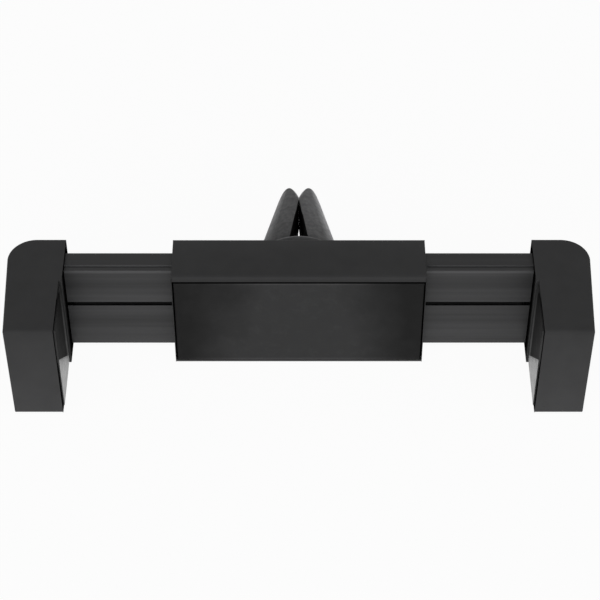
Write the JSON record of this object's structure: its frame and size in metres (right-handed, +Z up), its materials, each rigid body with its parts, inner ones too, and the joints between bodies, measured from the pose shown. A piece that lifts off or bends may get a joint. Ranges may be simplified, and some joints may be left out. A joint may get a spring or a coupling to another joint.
{
  "type": "air vent phone holder",
  "caption": "Car phone holder whose two sprung jaws slide out of a slim housing and close on a phone; it swivels on a four-prong rubber clip that pushes onto an air vent slat.",
  "frame": {"origin": "on the swivel axis, at the bottom of the slots between the clip prongs, where a vent slat stops", "axes": "+X along the jaws to the right as the driver sees it, +Y into the air vent along the swivel axis, +Z up; the phone lies against the -Y side"},
  "size_m": [0.1162, 0.0497, 0.0244],
  "materials": {
    "housing_plastic": "fine satin",
    "pad_rubber": "smooth semi-matte",
    "cover_plastic": "matte",
    "arm_plastic": "satin, drawn lengthwise",
    "jaw_plastic": "fine satin",
    "jaw_rubber": "smooth, slightly glossy",
    "gear_plastic": "plain moulded",
    "core_plastic": "matte",
    "clip_rubber": "grainy matte",
    "friction_rubber": "matte",
    "spring_steel": "bright drawn wire",
    "screw_steel": "plated",
    "washer_nylon": "plain"
  },
  "bodies": {
    "clip": {"clip_core": "core_plastic", "clip_collar": "clip_rubber", "clip_boots": "clip_rubber", "pivot_screw": "screw_steel", "pivot_washer": "washer_nylon", "friction_ring": "friction_rubber"},
    "housing": {"housing_shell": "housing_plastic", "front_pad": "pad_rubber", "rear_cover": "cover_plastic", "cover_screws": "screw_steel", "upper_spring": "spring_steel", "lower_spring": "spring_steel"},
    "left_jaw": {"left_arm": "arm_plastic", "left_spring_pins": "screw_steel", "left_jaw_shell": "jaw_plastic", "left_jaw_pad": "jaw_rubber", "left_jaw_screws": "screw_steel"},
    "right_jaw": {"right_arm": "arm_plastic", "right_spring_pins": "screw_steel", "right_jaw_shell": "jaw_plastic", "right_jaw_pad": "jaw_rubber", "right_jaw_screws": "screw_steel"},
    "pinion": {"pinion": "gear_plastic"}
  },
  "joints": [
    {"name": "swivel", "type": "hinge", "parent": "clip", "child": "housing", "pos_m": [0, 0, 0], "axis": [0, 1, 0], "continuous": true},
    {"name": "left_slide", "type": "slide", "parent": "housing", "child": "left_jaw", "axis": [1, 0, 0], "range_m": [0, 0.021], "deforming": ["upper_spring", "lower_spring"]},
    {"name": "right_slide", "type": "slide", "parent": "housing", "child": "right_jaw", "axis": [-1, 0, 0], "range_m": [0, 0.021]},
    {"name": "pinion_spin", "type": "hinge", "parent": "housing", "child": "pinion", "pos_m": [0, -0.00585, 0], "axis": [0, 1, 0], "range_deg": [0, 334.3]}
  ],
  "couplings": [
    {"joint": "right_slide", "follows": "left_slide", "ratio": 1},
    {"joint": "pinion_spin", "follows": "left_slide", "rad_per_m": 277.78}
  ]
}
